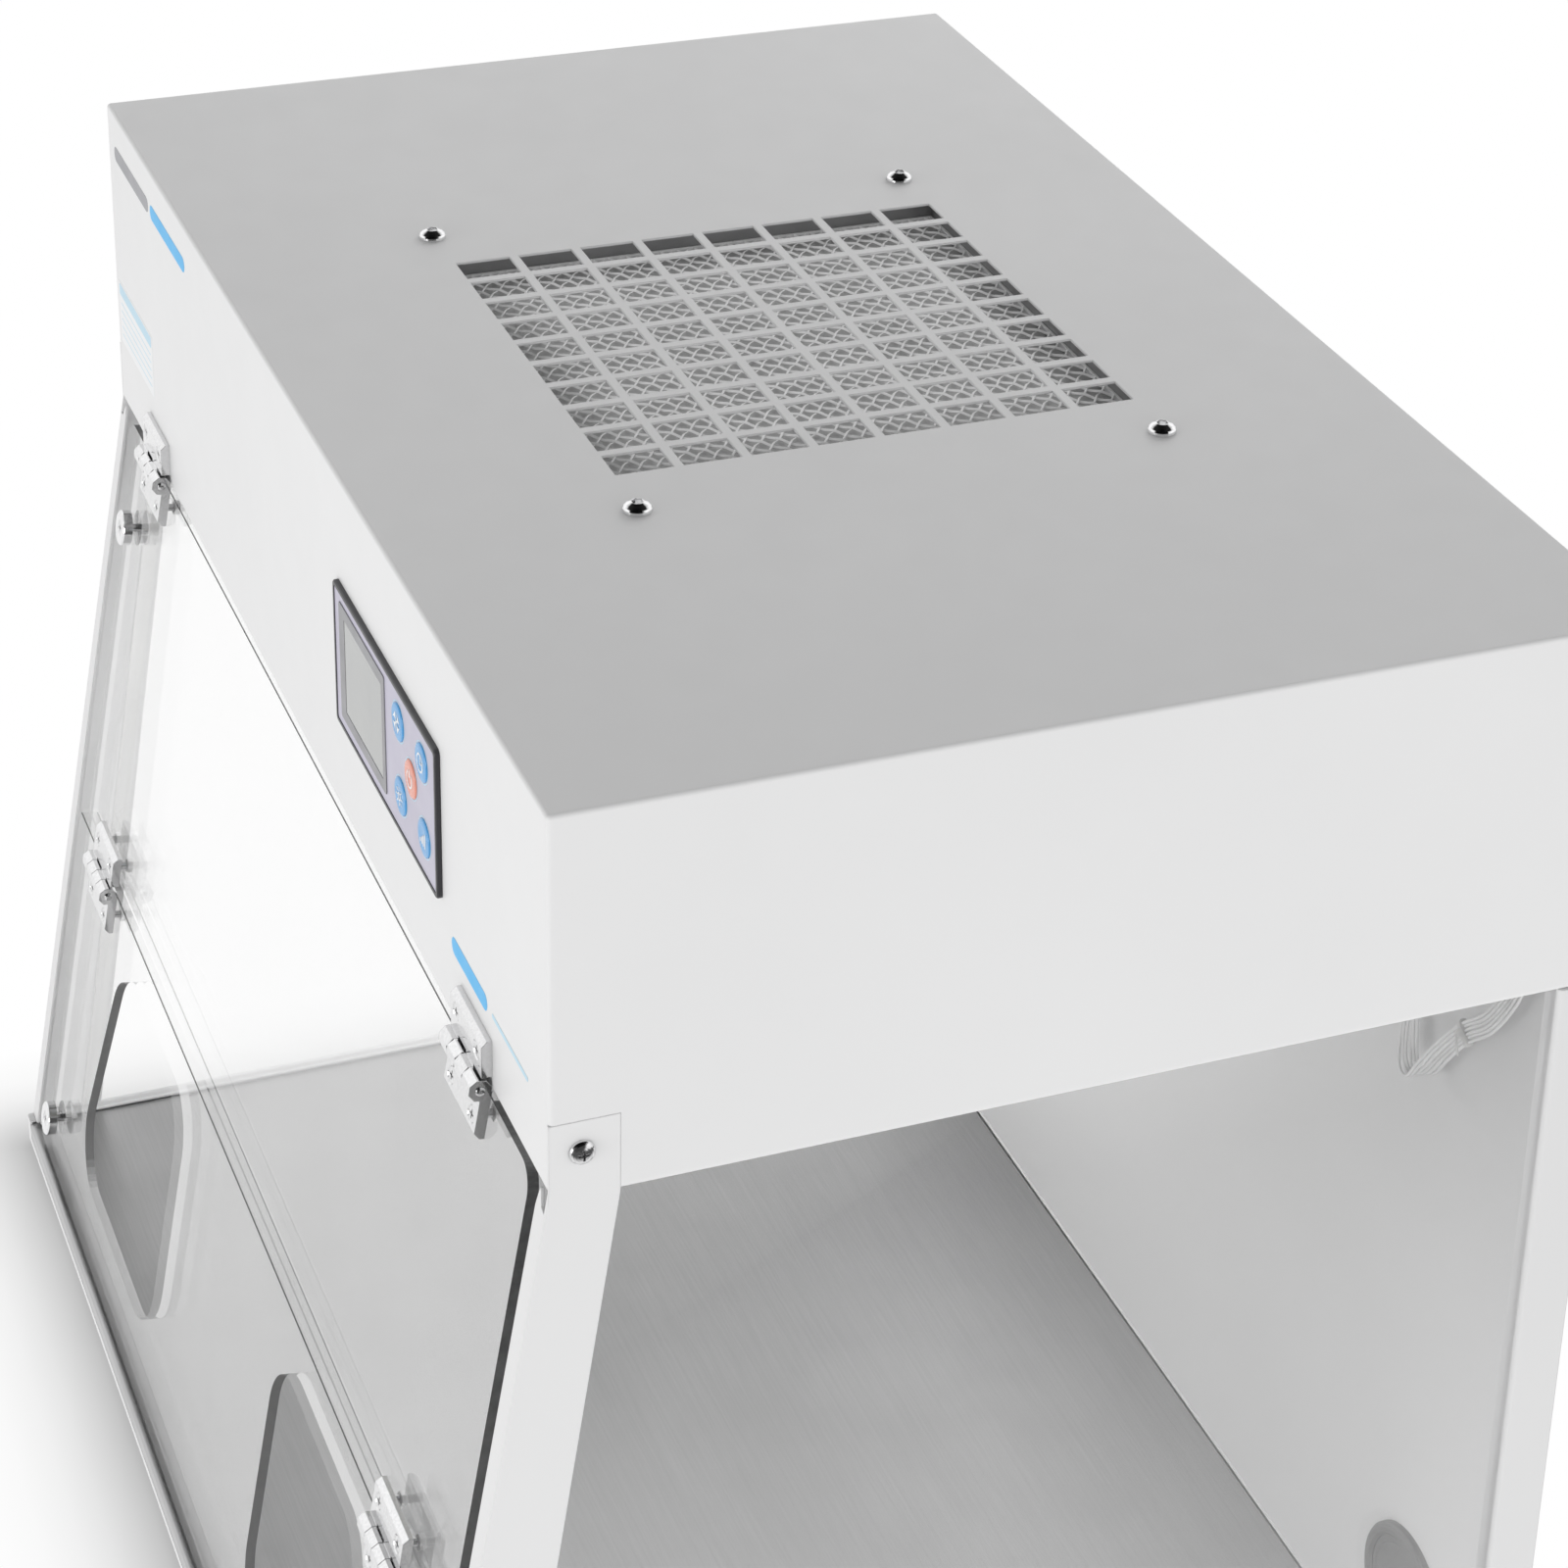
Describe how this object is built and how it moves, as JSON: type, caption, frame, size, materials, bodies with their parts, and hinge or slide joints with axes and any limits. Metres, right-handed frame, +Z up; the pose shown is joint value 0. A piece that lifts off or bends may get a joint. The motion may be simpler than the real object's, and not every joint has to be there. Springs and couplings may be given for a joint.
{
  "type": "ductless fume hood",
  "caption": "Benchtop fume hood with a sloping folding clear window, arm openings, top exhaust grille, filter, fan and keypad panel.",
  "frame": {"origin": "centre of the base outline at the level the rubber feet stand on", "axes": "+Z up, +Y from the operator towards the rear panel, +X to the operator's right"},
  "size_m": [0.8072, 0.58, 0.6805],
  "materials": {
    "casing_paint": "white powder coat, satin",
    "inner_paint": "light grey-white powder coat, satin",
    "stainless": "brushed stainless steel",
    "clear_pane": "clear, polished",
    "clear_acrylic": "clear, polished",
    "foam_tape": "soft foam",
    "black_rubber": "matte",
    "chrome_fastener": "bright plated",
    "steel_fastener": "bright zinc plated",
    "foam_seal": "closed-cell foam",
    "filter_frame": "mill finish",
    "filter_media": "pleated fibre",
    "galvanised": "dull grey zinc",
    "pad_fibre": "coarse fibre",
    "mesh_aluminium": "bright expanded mesh",
    "fan_plastic": "moulded",
    "motor_can": "satin",
    "steel_shaft": "ground steel",
    "impeller_plastic": "moulded",
    "lamp_aluminium": "anodised",
    "diffuser": "opal",
    "cable_grey": "PVC sheath",
    "tie_white": "nylon",
    "port_grey": "moulded, fine grain",
    "inlet_black": "moulded",
    "bezel_charcoal": "semi-gloss",
    "overlay_lilac": "printed film",
    "lcd_frame_grey": "printed film",
    "lcd_lens": "grey display window",
    "circuit_board": "green laminate",
    "key_blue": "domed film",
    "key_red": "domed film",
    "hinge_chrome": "satin-bright plated zinc"
  },
  "bodies": {
    "cabinet": {"upper_casing": "casing_paint", "ceiling_plate": "inner_paint", "left_front_post": "casing_paint", "right_front_post": "casing_paint", "rear_panel": "inner_paint", "base_tray": "casing_paint", "work_surface": "stainless", "left_side_pane": "clear_pane", "right_side_pane": "clear_pane", "pane_tape": "foam_tape", "rubber_feet": "black_rubber", "top_screws": "chrome_fastener", "post_screws": "steel_fastener", "frame_screws": "steel_fastener", "filter_gasket": "foam_seal", "filter_frame": "filter_frame", "filter_media": "filter_media", "exhaust_duct": "galvanised", "exhaust_pad": "pad_fibre", "guard_mesh": "mesh_aluminium", "fan_housing": "fan_plastic", "fan_motor": "motor_can", "fan_screws": "steel_fastener", "lamp_housing": "lamp_aluminium", "lamp_diffuser": "diffuser", "cable_bundle": "cable_grey", "cable_tie": "tie_white", "port_grommet": "port_grey", "power_inlet": "inlet_black", "control_bezel": "bezel_charcoal", "control_overlay": "overlay_lilac", "lcd_frame": "lcd_frame_grey", "lcd_lens": "lcd_lens", "control_board": "circuit_board", "casing_hinge_leaves": "hinge_chrome", "casing_hinge_screws": "steel_fastener", "casing_hinge_nuts": "steel_fastener"},
    "fan_rotor": {"fan_shaft": "steel_shaft", "fan_impeller": "impeller_plastic"},
    "port_plug": {"port_plug": "port_grey"},
    "key_fan": {"key_fan": "key_blue"},
    "key_timer": {"key_timer": "key_blue"},
    "key_power": {"key_power": "key_red"},
    "key_lamp": {"key_lamp": "key_blue"},
    "key_speed": {"key_speed": "key_blue"},
    "upper_window": {"upper_window": "clear_acrylic", "upper_hinge_leaves": "hinge_chrome", "upper_hinge_pins": "steel_shaft", "fold_hinge_upper_leaves": "hinge_chrome", "upper_window_screws": "steel_fastener", "upper_window_nuts": "steel_fastener", "upper_fold_magnet": "chrome_fastener", "upper_magnet_backing": "chrome_fastener"},
    "lower_window": {"lower_window": "clear_acrylic", "fold_hinge_lower_leaves": "hinge_chrome", "fold_hinge_pins": "steel_shaft", "lower_window_screws": "steel_fastener", "lower_window_nuts": "steel_fastener", "lower_fold_magnet": "chrome_fastener", "lower_magnet_backing": "chrome_fastener"}
  },
  "joints": [
    {"name": "window_lift", "type": "hinge", "parent": "cabinet", "child": "upper_window", "pos_m": [0, -0.2115, 0.4985], "axis": [-1, 0, 0], "range_deg": [0, 110]},
    {"name": "window_fold", "type": "hinge", "parent": "upper_window", "child": "lower_window", "pos_m": [0, -0.25444, 0.24461], "axis": [-1, 0, 0], "range_deg": [0, 180]},
    {"name": "fan_spin", "type": "hinge", "parent": "cabinet", "child": "fan_rotor", "pos_m": [0, 0.0425, 0.6], "axis": [0, 0, 1], "continuous": true},
    {"name": "port_plug_pull", "type": "slide", "parent": "cabinet", "child": "port_plug", "axis": [0, -1, 0], "range_m": [0, 0.03]},
    {"name": "key_fan_press", "type": "slide", "parent": "cabinet", "child": "key_fan", "axis": [0, 1, 0], "range_m": [0, 0.0008], "stiffness_N_per_m": 1500},
    {"name": "key_timer_press", "type": "slide", "parent": "cabinet", "child": "key_timer", "axis": [0, 1, 0], "range_m": [0, 0.0008], "stiffness_N_per_m": 1500},
    {"name": "key_power_press", "type": "slide", "parent": "cabinet", "child": "key_power", "axis": [0, 1, 0], "range_m": [0, 0.0008], "stiffness_N_per_m": 1500},
    {"name": "key_lamp_press", "type": "slide", "parent": "cabinet", "child": "key_lamp", "axis": [0, 1, 0], "range_m": [0, 0.0008], "stiffness_N_per_m": 1500},
    {"name": "key_speed_press", "type": "slide", "parent": "cabinet", "child": "key_speed", "axis": [0, 1, 0], "range_m": [0, 0.0008], "stiffness_N_per_m": 1500}
  ]
}
